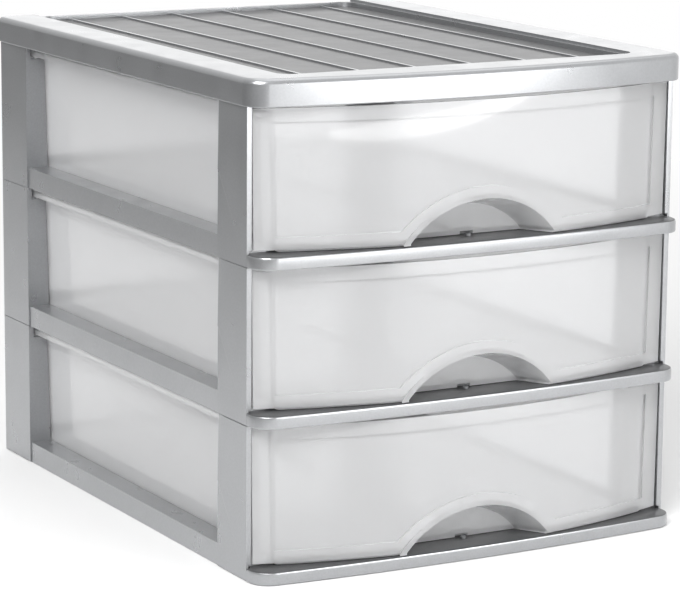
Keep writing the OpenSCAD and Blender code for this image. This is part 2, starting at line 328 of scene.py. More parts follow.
COVER_H = COVER_HIGH[2] - COVER_LOW[2]
COVER_HALF = COVER_HIGH[0]
COVER_FRONT = COVER_LOW[1]
COVER_BACK = COVER_HIGH[1]
COVER_BOW = 10.0
FRONT_CORNER = 12.0
BACK_CORNER = 8.0
COVER_EDGE = 3.0
BORDER_W = 24.0
RECESS_D = 4.0
STEP_W = 3.0
STEP_D = 1.5
PANEL_HALF = COVER_HALF - BORDER_W - STEP_W
PANEL_FRONT = POST_FRONT_Y + 7.0
PANEL_BACK = COVER_BACK - 3.5
PANEL_CORNER = 8.0
PANEL_TONE = 0.2
RIB_PITCH = 34.2
RIB_X = [(i - 2.5) * RIB_PITCH for i in range(6)]
FRONT_GAP = 1.3
RIM_RIB_X = 121.5
RIM_RIB_Y = TUB_BACK + 4.0
RIM_RIB_T = 1.6


def cover_ring(inset, z):
    plan = bowed_front(COVER_HALF, COVER_BOW, FRONT_CORNER, COVER_FRONT, inset, 48, 14)
    plan += rounded_back(COVER_HALF, COVER_BACK, BACK_CORNER, inset, 10)
    return [(x, y, z) for x, y in plan]


def behind_front(z0, z1):
    """Room behind the drawer fronts' curve, where covers and decks are hollow underneath."""
    r = FRONT_R - FRONT_T - FRONT_GAP
    outline = [(x, FRONT_C - math.sqrt(r * r - x * x)) for x in [-150 + 6 * i for i in range(51)]]
    return prism("room", outline + [(150, 220), (-150, 220)], z0, z1)


def make_cover(edge):
    rings = [cover_ring(0.7, 0), cover_ring(0.2, 0.2), cover_ring(0, 0.7)]
    for k in range(7):
        a = math.radians(15 * k)
        rings.append(cover_ring(COVER_EDGE * (1 - math.cos(a)), COVER_H - COVER_EDGE * (1 - math.sin(a))))
    cover = loft("cover", rings)
    hollow = loft("hollow", [cover_ring(WALL, z) for z in (-1, COVER_H - WALL)])
    shelf_plan = rounded_plan(PANEL_HALF + STEP_W + WALL, PANEL_FRONT - STEP_W - WALL, COVER_BACK + 9, PANEL_CORNER)
    shelf = prism("shelf", shelf_plan, COVER_H - RECESS_D - WALL, COVER_H + 1)
    room = behind_front(-2, COVER_H + 2)
    for side in (-1, 1):
        post = (side, RIM_RIB_X, RIM_RIB_X + 20, POST_FRONT_Y - 6, POST_FRONT_Y + 34, -2, COVER_H + 2)
        room = combine(room, ("UNION", side_block("post room", *post)))
    hollow = combine(hollow, ("INTERSECT", room), ("DIFFERENCE", shelf))
    step_plan = rounded_plan(PANEL_HALF + STEP_W, PANEL_FRONT - STEP_W, COVER_BACK + 30, PANEL_CORNER)
    step = prism("step", step_plan, COVER_H - STEP_D, COVER_H + 5)
    panel_plan = rounded_plan(PANEL_HALF, PANEL_FRONT, PANEL_BACK, PANEL_CORNER, 10)
    panel = prism("panel", panel_plan, COVER_H - RECESS_D, COVER_H + 5)
    steps = [("DIFFERENCE", hollow), ("DIFFERENCE", step), ("DIFFERENCE", panel)]
    low, high = COVER_H - RECESS_D - RIB_HALF, COVER_H - RECESS_D + RIB_HALF
    for x in RIB_X:
        rib = block("rib", x - RIB_HALF, x + RIB_HALF, PANEL_FRONT - 0.5, PANEL_BACK + 0.5, low, high)
        steps.append(("UNION", rib))
    bar_y = (RIM_RIB_Y, RIM_RIB_Y + RIM_RIB_T)
    for side in (-1, 1):
        for y in SEAT_STARTS:
            seat = (side, HALF_W - POST_T, HALF_W + 0.5, y, y + SEAT_LENGTH, SEAT_Z, COVER_H - 1.5)
            steps.append(("UNION", side_block("seat", *seat)))
        side_rib = (side, RIM_RIB_X - RIM_RIB_T, RIM_RIB_X, POST_FRONT_Y, bar_y[1], 0, COVER_H - 2)
        steps.append(("UNION", side_block("side rib", *side_rib)))
        end_bar = (side, PANEL_HALF + STEP_W + WALL - 1, RIM_RIB_X - 0.2, *bar_y, 0.02, COVER_H - 2.02)
        steps.append(("UNION", side_block("end bar", *end_bar)))
    back_bar = (0.2 - RIM_RIB_X, RIM_RIB_X - 0.2, bar_y[0] + HAIR, bar_y[1] - HAIR, 0.04, COVER_H - 5)
    steps.append(("UNION", block("back bar", *back_bar)))
    cover = combine(cover, *steps)
    cover.data.transform(Matrix.Translation((0, 0, COVER_LOW[2] * MM)))
    soften(cover, edge)
    return cover


# ---- decks ----

LIP_BOW = 5.0
LIP_FRONT = DECK_LOW[1]
NUB_Y = POST_FRONT_Y - 2.0
# how dark the lip top's painted shade makes the silver: the shadow in the trough before each drawer's foot is painted
# on
LIP_TOP_PAINTED_SHADE = 0.22


def lip_ring(inset, z):
    plan = bowed_front(HALF_W, LIP_BOW, FRONT_CORNER, LIP_FRONT, inset, 40, 12)
    back = POST_FRONT_Y - 0.15
    return [(x, y, z) for x, y in plan] + [(HALF_W - inset, back, z), (inset - HALF_W, back, z)]


def lip_hollow_ring(z):
    """Plan of the hollow under the front lip at height z."""
    front = bowed_front(HALF_W - WALL, LIP_BOW, FRONT_CORNER - WALL, LIP_FRONT + WALL)
    back = POST_FRONT_Y - 2
    return [(x, y, z) for x, y in front] + [(HALF_W - WALL, back, z), (WALL - HALF_W, back, z)]


def make_nub():
    """Low stop that shows in the finger arch."""
    sizes = ((1.6, FLOOR_Z - 1), (1.6, FLOOR_Z + 0.8), (1.2, FLOOR_Z + 1.2))
    return loft("nub", [[(x, y, z) for x, y in arc(0, NUB_Y, r, 0, 345, 23)] for r, z in sizes])


def make_deck(edge):
    lip_sizes = (
        (0.9, 0),
        (0.25, 0.25),
        (0, 0.9),
        (0, FLOOR_Z - 1.5),
        (0.44, FLOOR_Z - 0.44),
        (1.5, FLOOR_Z),
    )
    lip = loft("lip", [lip_ring(inset, z) for inset, z in lip_sizes])
    rail_plan = [(RAIL_X, RISER_Y)] + rounded_back(RAIL_X, BACK_Y - 0.2, 6.0) + [(-RAIL_X, RISER_Y)]
    rails = prism("rails", rail_plan, 0, RAIL_H)
    floor = block("floor", -FOOT_X, FOOT_X, POST_FRONT_Y - 2, POST_FRONT_Y + 20, 0.15, FLOOR_Z - HAIR)
    hollow_lip = loft("hollow", [lip_hollow_ring(z) for z in (-1, FLOOR_Z - WALL)])
    hollow_lip = combine(hollow_lip, ("INTERSECT", behind_front(-3, FLOOR_Z)))
    inner_back = BACK_Y - 0.2 - WALL
    under = block("under", -LEDGE_X, LEDGE_X, POST_FRONT_Y - 8, inner_back, -1, FLOOR_Z - WALL - 0.05)
    under = combine(under, ("INTERSECT", behind_front(-3, FLOOR_Z)))
    tray = block("tray", -LEDGE_X, LEDGE_X, POST_FRONT_Y - 1, inner_back, FLOOR_Z, RAIL_H + 5)
    steps = [
        ("UNION", rails),
        ("UNION", floor),
        ("DIFFERENCE", hollow_lip),
        ("DIFFERENCE", under),
        ("DIFFERENCE", tray),
    ]
    above = RAIL_H + 2
    for side in (-1, 1):
        cuts = {
            "side hollow": (LEDGE_X + 1.8, FOOT_X - WALL, RISER_Y + WALL, BACK_Y - 8.5, -1, RAIL_H - WALL),
            "front lap": (FOOT_X, FOOT_X + 20, POST_FRONT_Y - SLACK, POST_END_Y + SLACK, -1, above),
            "back lap": (FOOT_X, FOOT_X + 20, BACK_POST_Y - SLACK, BACK_Y + 2, -1, above),
            "leg lap": (HALF_W - LEG_W - SLACK, HALF_W + 5, BACK_Y - WALL - 0.1, BACK_Y + 5, -1, above),
        }
        for name, sizes in cuts.items():
            steps.append(("DIFFERENCE", side_block(name, side, *sizes)))
        for y in SEAT_STARTS:
            seat = (side, FOOT_X - 0.5, FOOT_X + TONGUE_T, y, y + SEAT_LENGTH, SEAT_Z, 8.0)
            steps.append(("UNION", side_block("seat", *seat)))
    for x in (-84, -28, 28, 84):
        rib = block("rib", x - RIB_HALF, x + RIB_HALF, RISER_Y, BACK_Y - 2, 1.5, FLOOR_Z - 2)
        steps.append(("UNION", rib))
    for y in (-70, 12, 94):
        rib = block("rib", -LEDGE_X - 0.6, LEDGE_X + 0.6, y - RIB_HALF, y + RIB_HALF, 1.4, FLOOR_Z - 2.1)
        steps.append(("UNION", rib))
    back_rib = (-LEDGE_X - 0.4, LEDGE_X + 0.4, RIM_RIB_Y, RIM_RIB_Y + RIM_RIB_T, 0.3, FLOOR_Z - 2)
    steps.append(("UNION", block("back rib", *back_rib)))
    steps.append(("UNION", make_nub()))
    deck = combine(lip, *steps)
    soften(deck, edge)
    return deck


# ---- uprights ----

FACET_W = 12.5
FACET_LEAN = 19.0
CHEEK_T = 1.4
CHEEK_Y = POST_FRONT_Y + 6.0
INNER_FOOT = TUB_HALF - DRAFT + 0.9  # where the guides and cheeks stand beside the tub, at its foot and its top
INNER_TOP = TUB_HALF + 0.8


def make_plate(y0, y1):
    """Outer plate of an upright, and the steps that give it its lap, seam line and tongue."""
    plate_x = HALF_W - POST_T
    plate = block("upright", plate_x, HALF_W, y0, y1, 0, TIER_H)
    lap = block("lap", plate_x - 1, plate_x + LAP_T, y0 - 1, y1 + 1, -1, LAP_Z)
    line = block("shadow line", HALF_W - 0.5, HALF_W + 1, y0 - 1, y1 + 1, -1, 0.5)
    tongue = block("tongue", plate_x, plate_x + TONGUE_T, y0 + 2.5, y1 - 4.5, TIER_H - 2, TIER_H + 5)
    return plate, [("DIFFERENCE", lap), ("DIFFERENCE", line), ("UNION", tongue)]


def make_guide(y):
    """Flange across an upright that guides the drawer's side."""
    inner = HALF_W - POST_T + 0.6
    outline = [(INNER_FOOT, RAIL_H), (inner, RAIL_H), (inner, GUIDE_TOP_Z), (INNER_TOP, GUIDE_TOP_Z)]
    return slab("guide", outline, y, y + GUIDE_T)


def make_cheek(y0, y1):
    """Thin inner wall that stands beside the drawer and joins the guide."""
    z1 = GUIDE_TOP_Z - 0.04
    outline = [(INNER_FOOT, RAIL_H), (INNER_FOOT + CHEEK_T, RAIL_H), (INNER_TOP + CHEEK_T, z1), (INNER_TOP, z1)]
    return slab("cheek", outline, y0, y1)


def make_front_upright(edge):
    plate, steps = make_plate(POST_FRONT_Y, POST_END_Y)
    facet = block("facet", 0, 3, 0, 40, -TIER_H, TIER_H)
    facet.data.transform(
        Matrix.Translation((HALF_W * MM, (POST_END_Y - FACET_W) * MM, TIER_H * MM))
        @ Matrix.Rotation(math.radians(FACET_LEAN), 4, "X")
        @ Matrix.Rotation(math.radians(3.5), 4, "Z")
    )
    steps.append(("DIFFERENCE", facet))
    steps.append(("UNION", make_guide(POST_END_Y - GUIDE_T + HAIR)))
    steps.append(("UNION", make_cheek(CHEEK_Y, POST_END_Y - 1.2)))
    upright = combine(plate, *steps)
    soften(upright, edge)
    return upright


def make_back_upright(edge):
    plate_x = HALF_W - POST_T
    outline = [(plate_x, BACK_POST_Y), (HALF_W, BACK_POST_Y)] + arc(HALF_W - 3, BACK_Y - 3, 3, 0, 90, 8)
    outline += [(HALF_W - LEG_W, BACK_Y), (HALF_W - LEG_W, BACK_Y - GUIDE_T), (plate_x, BACK_Y - GUIDE_T)]
    spare, steps = make_plate(BACK_POST_Y, BACK_Y)
    discard(spare)
    upright = prism("upright", outline, 0, TIER_H)
    steps.append(("UNION", make_guide(BACK_POST_Y - HAIR)))
    upright = combine(upright, *steps)
    soften(upright, edge)
    return upright


# ---- drawers ----


def front_y(x, r):
    """Where an arc of the drawer front's centre and radius r stands at x."""
    return FRONT_C - math.sqrt(r * r - x * x)


def tub_ring(z, inset, depth, grow=0.0, corner=9.0):
    """Plan of the tub at height z: straight sides, round back corners and the curve of the front."""
    lean = DRAFT * (RIM_Z - z) / (RIM_Z - TUB_FOOT) if grow == 0 else 0.0
    half = TUB_HALF - lean - inset + grow
    back = TUB_BACK - lean - inset + grow
    corner = max(1.5, corner - inset)
    r = FRONT_R - depth
    ring = rounded_back(half, back, corner, 0.0, 10)
    ring += [(x, front_y(x, r)) for x in [-half + 2 * half * i / 40 for i in range(41)]]
    return [(x, y, z) for x, y in ring]


def front_band(name, outer, inner, half_top, half_foot, z0, z1, n=72):
    """Curved plate between two radii of the drawer front, a little narrower at its foot."""
    rings = []
    for i in range(n + 1):
        u = -1 + 2 * i / n
        a, b = u * half_foot, u * half_top
        front = [(a, front_y(a, outer), z0), (b, front_y(b, outer), z1)]
        back = [(b, front_y(b, inner), z1), (a, front_y(a, inner), z0)]
        rings.append(front + back)
    return loft(name, rings)


def arch(half, rise, y, lift=0.0, foot=4.0, n=44):
    """Arch outline at depth y, from its left foot over the top to its right one."""
    r = (half * half + rise * rise) / (2 * rise)
    cz = FRONT_FOOT + rise - r
    r += lift
    end = math.degrees(math.acos(min(1.0, (FRONT_FOOT - cz) / r)))
    points = arc(0, cz, r, 90 + end, 90 - end, n)
    ring = [(points[0][0], foot)] + points + [(points[-1][0], foot)]
    return [(x, y, z) for x, z in ring]


def foot_rounding(r, inset, z):
    """Inset and height at five steps up a rounded foot of radius r."""
    turns = [math.radians(a) for a in (0, 22.5, 45, 67.5, 90)]
    return [(inset + r * (1 - math.sin(a)), z + r * (1 - math.cos(a))) for a in turns]


def tapered_arch(y, extra, *more):
    """Finger recess from depth y to its narrower back; extra moves the back wall behind the uprights' front."""
    back = arch(ARCH_HALF * ARCH_BACK, ARCH_RISE * ARCH_BACK, POST_FRONT_Y + extra, *more)
    return [arch(ARCH_HALF, ARCH_RISE, y, *more), back]


def make_drawer(edge):
    outside = foot_rounding(3, 0, TUB_FOOT)
    tub = loft("drawer", [tub_ring(z, i, 1.2) for i, z in outside] + [tub_ring(RIM_Z - 0.6, 0, 1.2)])
    rim = loft("rim", [tub_ring(z, 0, 1.25, RIM_W, 15.0) for z in (RIM_Z - 4, RIM_Z)])
    gutter = loft("gutter", [tub_ring(z, 0, 1.9, RIM_W - 1.6, 13.4) for z in (RIM_Z - 6, RIM_Z - 1.8)])
    rim = combine(rim, ("DIFFERENCE", gutter))
    foot_half = FRONT_HALF - FRONT_SLANT
    plate = front_band("plate", FRONT_R, FRONT_R - FRONT_T, FRONT_HALF, foot_half, FRONT_FOOT, FRONT_TOP)
    inside = foot_rounding(2.5, TUB_T, TUB_FOOT + TUB_T)
    cavity_rings = [tub_ring(z, i, FRONT_T + 0.05 + i - TUB_T) for i, z in inside]
    cavity = loft("cavity", cavity_rings + [tub_ring(RIM_Z + 2, TUB_T, FRONT_T + 0.05)])
    sunk = front_band(
        "sunk",
        FRONT_R + 6,
        FRONT_R - PANEL_STEP,
        FRONT_HALF - SIDE_BAND,
        FRONT_HALF - SIDE_BAND - FRONT_SLANT,
        FRONT_FOOT + FOOT_BAND,
        FRONT_TOP - TOP_BAND,
    )
    band = loft("arch band", [arch(ARCH_HALF, ARCH_RISE, y, FOOT_BAND, -20.0, 56) for y in (FRONT_Y - 20, -120)])
    sunk = combine(sunk, ("DIFFERENCE", band))
    niche = loft("niche", tapered_arch(FRONT_Y + 1.6, TUB_T, TUB_T, TUB_FOOT + 0.04))
    void = loft("void", tapered_arch(FRONT_Y - 1, 0))
    ridge = block("ridge", -6, 6, POST_FRONT_Y + 0.5, 91.9, TUB_FOOT + 0.6, TUB_FOOT + 3.4)
    channel = block("channel", -4, 4, POST_FRONT_Y - 6, 89.9, TUB_FOOT - 2, TUB_FOOT + 1.6)
    drawer = combine(
        tub,
        ("UNION", rim),
        ("UNION", plate),
        ("DIFFERENCE", cavity),
        ("DIFFERENCE", sunk),
        ("UNION", niche),
        ("UNION", ridge),
        ("DIFFERENCE", void),
        ("DIFFERENCE", channel),
    )
    soften(drawer, edge, second=True)
    return drawer


# ---- finishes ----


class Finish:
    """A material under construction, with short ways to add and join nodes."""

    def __init__(self, name):
        self.material = bpy.data.materials.new(name)
        self.material.use_nodes = True
        self.tree = self.material.node_tree
        self.tree.nodes.clear()
        self.out = self.add("ShaderNodeOutputMaterial")
        self.shader = self.add("ShaderNodeBsdfPrincipled")
        self.join(self.shader.outputs["BSDF"], self.out.inputs["Surface"])

    def add(self, kind, **values):
        node = self.tree.nodes.new(kind)
        for key, value in values.items():
            if key in node.inputs:
                node.inputs[key].default_value = value
            else:
                setattr(node, key, value)
        return node

    def join(self, source, target):
        self.tree.links.new(source, target)

    def place(self, scale=(1, 1, 1)):
        """Object coordinates, stretched; one unit is one metre."""
        spot = self.add("ShaderNodeTexCoord")
        stretch = self.add("ShaderNodeMapping")
        stretch.inputs["Scale"].default_value = scale
        self.join(spot.outputs["Object"], stretch.inputs["Vector"])
        return stretch.outputs["Vector"]

    def noise(self, where, size, detail=3.0, rough=0.55):
        node = self.add("ShaderNodeTexNoise")
        node.inputs["Scale"].default_value = 1 / (size * MM)
        node.inputs["Detail"].default_value = detail
        node.inputs["Roughness"].default_value = rough
        self.join(where, node.inputs["Vector"])
        return node.outputs["Fac"]

    def span(self, value, low, high, from_low=0.25, from_high=0.75):
        node = self.add("ShaderNodeMapRange")
        node.inputs["From Min"].default_value = from_low
        node.inputs["From Max"].default_value = from_high
        node.inputs["To Min"].default_value = low
        node.inputs["To Max"].default_value = high
        self.join(value, node.inputs["Value"])
        return node.outputs["Result"]

    def tone(self, value, dark, light):
        node = self.add("ShaderNodeMix", data_type="RGBA")
        self.join(value, node.inputs["Factor"])
        node.inputs["A"].default_value = (*dark, 1)
        node.inputs["B"].default_value = (*light, 1)
        return node.outputs["Result"]

    def reckon(self, kind, a, b):
        node = self.add("ShaderNodeMath", operation=kind)
        self.join(a, node.inputs[0])
        self.join(b, node.inputs[1])
        return node.outputs["Value"]

    def larger(self, a, b):
        return self.reckon("MAXIMUM", a, b)

    def times(self, a, b):
        return self.reckon("MULTIPLY", a, b)

    def bump(self, height, depth, strength=1.0):
        node = self.add("ShaderNodeBump")
        node.inputs["Strength"].default_value = strength
        node.inputs["Distance"].default_value = depth * MM
        self.join(height, node.inputs["Height"])
        self.join(node.outputs["Normal"], self.shader.inputs["Normal"])


def shade(colour, factor):
    return tuple(min(1.0, c * factor) for c in colour)


def silver_plastic(name, colour, roughness, metal, flow):
    """Moulded plastic with metal flake: soft grain, faint flow clouds and a slightly uneven gloss."""
    finish = Finish(name)
    everywhere = finish.place()
    flake = finish.noise(everywhere, 1.1, 1.0)
    clouds = finish.noise(finish.place(flow), 60.0, 2.0, 0.5)
    grain = finish.tone(finish.span(flake, 0, 1), shade(colour, 0.96), shade(colour, 1.04))
    cloud = finish.tone(finish.span(clouds, 0, 1), (0.94, 0.94, 0.945), (1.0, 1.0, 1.0))
    both = finish.add("ShaderNodeMix", data_type="RGBA", blend_type="MULTIPLY")
    both.inputs["Factor"].default_value = 1
    finish.join(grain, both.inputs["A"])
    finish.join(cloud, both.inputs["B"])
    finish.join(both.outputs["Result"], finish.shader.inputs["Base Color"])
    gloss = finish.span(finish.noise(everywhere, 18.0), roughness - 0.04, roughness + 0.05)
    finish.join(gloss, finish.shader.inputs["Roughness"])
    finish.shader.inputs["Metallic"].default_value = metal
    finish.shader.inputs["Coat Weight"].default_value = 0.25
    finish.shader.inputs["Coat Roughness"].default_value = 0.12
    finish.bump(finish.noise(everywhere, 6.0, 1.0), 0.02, 0.4)
    return finish.material


def frosted_plastic(name, colour, roughness, clear):
    """Clear plastic with a fine frost: light comes through blurred, with a milky veil."""
    finish = Finish(name)
    everywhere = finish.place()
    veil = finish.noise(everywhere, 45.0, 2.0)
    tint = finish.tone(finish.span(veil, 0, 1), shade(colour, 0.985), colour)
    finish.join(tint, finish.shader.inputs["Base Color"])
    blur = finish.span(finish.noise(everywhere, 9.0), roughness - 0.03, roughness + 0.03)
    finish.join(blur, finish.shader.inputs["Roughness"])
    finish.shader.inputs["Transmission Weight"].default_value = clear
    finish.shader.inputs["IOR"].default_value = 1.05
    finish.shader.inputs["Coat Weight"].default_value = 1.0
    finish.shader.inputs["Coat Roughness"].default_value = 0.04
    finish.bump(finish.noise(everywhere, 40.0, 1.0), 0.05, 0.4)
    return finish.material


def floor_finish(colour):
    """Pale paper that keeps the shadow and is plain white far off, with a painted shade that deepens its colour to
    grey on the side away from the lamps.
    """
    finish = Finish("pale floor")
    split = finish.add("ShaderNodeSeparateXYZ")
    finish.join(finish.place(), split.inputs["Vector"])
    # painted shade: the floor's colour deepens to grey towards negative x, and there it is not turned white
    side = finish.span(split.outputs["X"], 0, 1, *FLOOR_PAINTED_SHADE_SPAN)
    paper = finish.tone(finish.span(finish.noise(finish.place(), 300.0, 2.0), 0, 1), shade(colour, 0.995), colour)
    both = finish.add("ShaderNodeMix", data_type="RGBA")
    finish.join(side, both.inputs["Factor"])
    both.inputs["A"].default_value = (*shade(colour, FLOOR_PAINTED_SHADE_FACTOR), 1)
    finish.join(paper, both.inputs["B"])
    finish.join(both.outputs["Result"], finish.shader.inputs["Base Color"])
    finish.shader.inputs["Roughness"].default_value = 0.9
    finish.shader.inputs["Specular IOR Level"].default_value = 0.1
    reach = finish.add("ShaderNodeVectorMath", operation="LENGTH")
    finish.join(finish.place(), reach.inputs[0])
    far = finish.span(reach.outputs["Value"], 0, 1, *FLOOR_WHITE)
    rays = finish.add("ShaderNodeLightPath")
    seen = finish.larger(rays.outputs["Is Camera Ray"], rays.outputs["Is Glossy Ray"])
    seen = finish.larger(seen, rays.outputs["Is Transmission Ray"])
    white = finish.add("ShaderNodeEmission")
    white.inputs["Strength"].default_value = 1
    blend = finish.add("ShaderNodeMixShader")
    finish.join(finish.times(finish.times(seen, far), side), blend.inputs["Fac"])
    finish.join(finish.shader.outputs["BSDF"], blend.inputs[1])
    finish.join(white.outputs["Emission"], blend.inputs[2])
    finish.join(blend.outputs["Shader"], finish.out.inputs["Surface"])
    return finish.material


# ---- what a user can change ----


class DrawerBoxLooks(bpy.types.PropertyGroup):
    """Colours and finishes of the drawer box."""

    silver: bpy.props.FloatVectorProperty(
        name="Silver",
        description="Colour of the silver plastic",
        default=(0.40, 0.407, 0.417), size=3, min=0, max=1, subtype="COLOR",
    )
    silver_roughness: bpy.props.FloatProperty(
        name="Silver roughness",
        description="How dull the silver plastic is",
        default=0.3, min=0.05, max=1, subtype="FACTOR",
    )
    silver_metal: bpy.props.FloatProperty(
        name="Metal flake",
        description="How strongly the silver plastic reflects like metal",
        default=0.88, min=0, max=1, subtype="FACTOR",
    )
    tray: bpy.props.FloatVectorProperty(
        name="Deck tray",
        description="Colour of the deck under each drawer",
        default=(0.76, 0.765, 0.77), size=3, min=0, max=1, subtype="COLOR",
    )
    frost: bpy.props.FloatVectorProperty(
        name="Drawer colour",
        description="Tint of the frosted plastic",
        default=(0.94, 0.943, 0.95), size=3, min=0, max=1, subtype="COLOR",
    )
    frost_roughness: bpy.props.FloatProperty(
        name="Frost",
        description="How much the drawers blur what is behind them",
        default=0.40, min=0.05, max=1, subtype="FACTOR",
    )
    frost_clear: bpy.props.FloatProperty(
        name="Clearness",
        description="Share of the light that passes through the drawer walls",
        default=0.73, min=0, max=1, subtype="FACTOR",
    )
    edge_clear: bpy.props.FloatProperty(
        name="Edge clearness",
        description="Share of the light that passes through the rounded edges",
        default=0.1, min=0, max=1, subtype="FACTOR",
    )
    floor: bpy.props.FloatVectorProperty(
        name="Floor",
        description="Colour of the floor",
        default=(0.74, 0.74, 0.74), size=3, min=0, max=1, subtype="COLOR",
    )


class DrawerBoxSizes(bpy.types.PropertyGroup):
    """Small roundings that the mould leaves."""

    cover_edge: bpy.props.FloatProperty(
        name="Cover edge",
        description="Rounding of the cover's small edges",
        default=0.00045, min=0.0001, max=0.002, unit="LENGTH", precision=5,
    )
    frame_edge: bpy.props.FloatProperty(
        name="Frame edge",
        description="Rounding of the decks' and uprights' edges",
        default=0.0004, min=0.0001, max=0.002, unit="LENGTH", precision=5,
    )
    drawer_edge: bpy.props.FloatProperty(
        name="Drawer edge",
        description="Rounding of the drawers' edges",
        default=0.0004, min=0.0001, max=0.001, unit="LENGTH", precision=5,
    )


# ---- operators ----

ALONG = (1, 0.3, 1)  # stretch of the flow clouds along y, and upwards
UPWARDS = (1, 1, 0.3)


def silver(looks, name, flow):
    """The silver of the frame, its clouds drawn out along the piece."""
    return silver_plastic(name, looks.silver, looks.silver_roughness, looks.silver_metal, flow)


def spread_over_tiers(model, make_name, make_node, body_of, material, mirrored):
    """Copies a finished piece to every tier, and to both sides if it has a left and a right."""
    for tier, z in TIERS.items():
        for side in ("right", "left") if mirrored else ("",):
            place = Matrix.Translation((0, 0, z * MM))
            if side == "left":
                place = place @ Matrix.Scale(-1, 4, (1, 0, 0))
            piece = duplicate(model, make_name(tier, side), place)
            for source in model.modifiers:
                target = piece.modifiers.new(source.name, source.type)
                for key in ("mode", "weight", "keep_sharp"):
                    setattr(target, key, getattr(source, key))
            dress(piece, make_name(tier, side), make_node(tier, side), body_of(tier), material)
    discard(model)


class DRAWERBOX_OT_cover(bpy.types.Operator):
    """Build the ribbed top cover"""

    bl_idname = "drawerbox.cover"
    bl_label = "Top cover"

    def execute(self, context):
        looks, sizes = context.scene.drawer_box_looks, context.scene.drawer_box_sizes
        finish = silver(looks, "silver cover", ALONG)
        matt = silver_plastic("silver cover panel", shade(looks.silver, PANEL_TONE), 0.5, 0.5, (1, 0.2, 1))
        cover = make_cover(sizes.cover_edge / MM)
        dress(cover, "cover", "top_cover", "frame", finish)
        paint_flats(cover, matt, COVER_LOW[2] + COVER_H - RECESS_D, PANEL_HALF + 1, PANEL_FRONT - 1)
        return {"FINISHED"}


class DRAWERBOX_OT_decks(bpy.types.Operator):
    """Build the deck of every tier"""

    bl_idname = "drawerbox.decks"
    bl_label = "Decks"

    def execute(self, context):
        looks, sizes = context.scene.drawer_box_looks, context.scene.drawer_box_sizes
        finish = silver(looks, "silver deck", ALONG)
        spread_over_tiers(
            make_deck(sizes.frame_edge / MM),
            lambda tier, side: f"deck_{tier}",
            lambda tier, side: DECKS[tier],
            lambda tier: "frame",
            finish,
            False,
        )
        pale = silver_plastic("pale deck tray", looks.tray, 0.5, 0.2, ALONG)
        # painted shade: the lip top in front of each drawer gets a darker silver in place of the shadow that falls in
        # that trough
        dull = silver_plastic("lip top painted shade", shade(looks.silver, LIP_TOP_PAINTED_SHADE), 0.45, 0.4, ALONG)
        for tier, z in TIERS.items():
            deck = bpy.data.objects[f"deck_{tier}"]
            paint_flats(deck, pale, z + FLOOR_Z, LEDGE_X, RISER_Y - 0.1)
            paint_flats(deck, dull, z + FLOOR_Z, HALF_W, LIP_FRONT, RISER_Y - 0.1, 0.5, 0.55)
        return {"FINISHED"}


class DRAWERBOX_OT_front_uprights(bpy.types.Operator):
    """Build the six front corner uprights"""

    bl_idname = "drawerbox.front_uprights"
    bl_label = "Front uprights"

    def execute(self, context):
        looks, sizes = context.scene.drawer_box_looks, context.scene.drawer_box_sizes
        finish = silver(looks, "silver front upright", UPWARDS)
        spread_over_tiers(
            make_front_upright(sizes.frame_edge / MM),
            lambda tier, side: f"upright_{tier}_front_{side}",
            lambda tier, side: f"{tier}_upright_front_{side}",
            lambda tier: "frame",
            finish,
            True,
        )
        return {"FINISHED"}


class DRAWERBOX_OT_back_uprights(bpy.types.Operator):
    """Build the six back corner uprights"""

    bl_idname = "drawerbox.back_uprights"
    bl_label = "Back uprights"

    def execute(self, context):
        looks, sizes = context.scene.drawer_box_looks, context.scene.drawer_box_sizes
        finish = silver(looks, "silver back upright", UPWARDS)
        spread_over_tiers(
            make_back_upright(sizes.frame_edge / MM),
            lambda tier, side: f"upright_{tier}_back_{side}",
            lambda tier, side: f"{tier}_upright_back_{side}",
            lambda tier: "frame",
            finish,
            True,
        )
        return {"FINISHED"}


class DRAWERBOX_OT_drawers(bpy.types.Operator):
    """Build the three frosted drawers"""

    bl_idname = "drawerbox.drawers"
    bl_label = "Drawers"

    def execute(self, context):
        looks, sizes = context.scene.drawer_box_looks, context.scene.drawer_box_sizes
        finish = frosted_plastic("frosted drawer", looks.frost, looks.frost_roughness, looks.frost_clear)
        spread_over_tiers(
            make_drawer(sizes.drawer_edge / MM),
            lambda tier, side: f"drawer_{tier}",
            lambda tier, side: f"{tier}_drawer",
            lambda tier: f"drawer_{tier}",
            finish,
            False,
        )
        milky = frosted_plastic("milky drawer edge", shade(looks.frost, 1.04), looks.frost_roughness, looks.edge_clear)
        for tier in TIERS:
            bpy.data.objects[f"drawer_{tier}"].data.materials.append(milky)
        return {"FINISHED"}


# ---- stage ----

SURROUND_LEAN = (0.55, 0.1, 0.3)  # towards its bright side
SURROUND_FADE = (-0.5, 0.5, 0.4, 0.95)
FLOOR_PAINTED_SHADE_SPAN = (-0.75, -0.25)  # x in metres over which the floor's painted shade deepens it to grey
# colour factor of the floor where its painted shade is darkest
FLOOR_PAINTED_SHADE_FACTOR = 0.25
FLOOR_WHITE = (0.5, 1.3)  # distance in metres over which the floor turns white
FLOOR_REACH = 6000.0
CAMERA_AT = (-0.83438, -1.50908, 0.45788)
CAMERA_TO = (0.01684, 0.02, 0.10783)
CAMERA_ROLL = 0.46818
CAMERA_LENS = 162.74
CAMERA_SHIFT = 0.00509

# name, place, target, width and height in metres, watts, shape
LAMPS = (
    ("top light", (0.5, 0.3, 2.0), (0, 0, 0.1), (1.8, 1.6), 8, "RECTANGLE"),
    ("front light", (0.36, -0.92, 0.26), (0.36, 0, 0.26), (0.6, 0.21), 2.4, "RECTANGLE"),
    ("oval light", (0.315, -0.92, 0.12), (0.315, 0, 0.12), (0.73, 0.018), 0.18, "ELLIPSE"),
    ("left light", (-1.0, -0.95, 1.15), (0, 0, 0.1), (1.0, 0.8), 33, "RECTANGLE"),
    ("back light", (0.75, 1.5, 0.5), (0, 0, 0.25), (1.0, 0.5), 1, "RECTANGLE"),
)


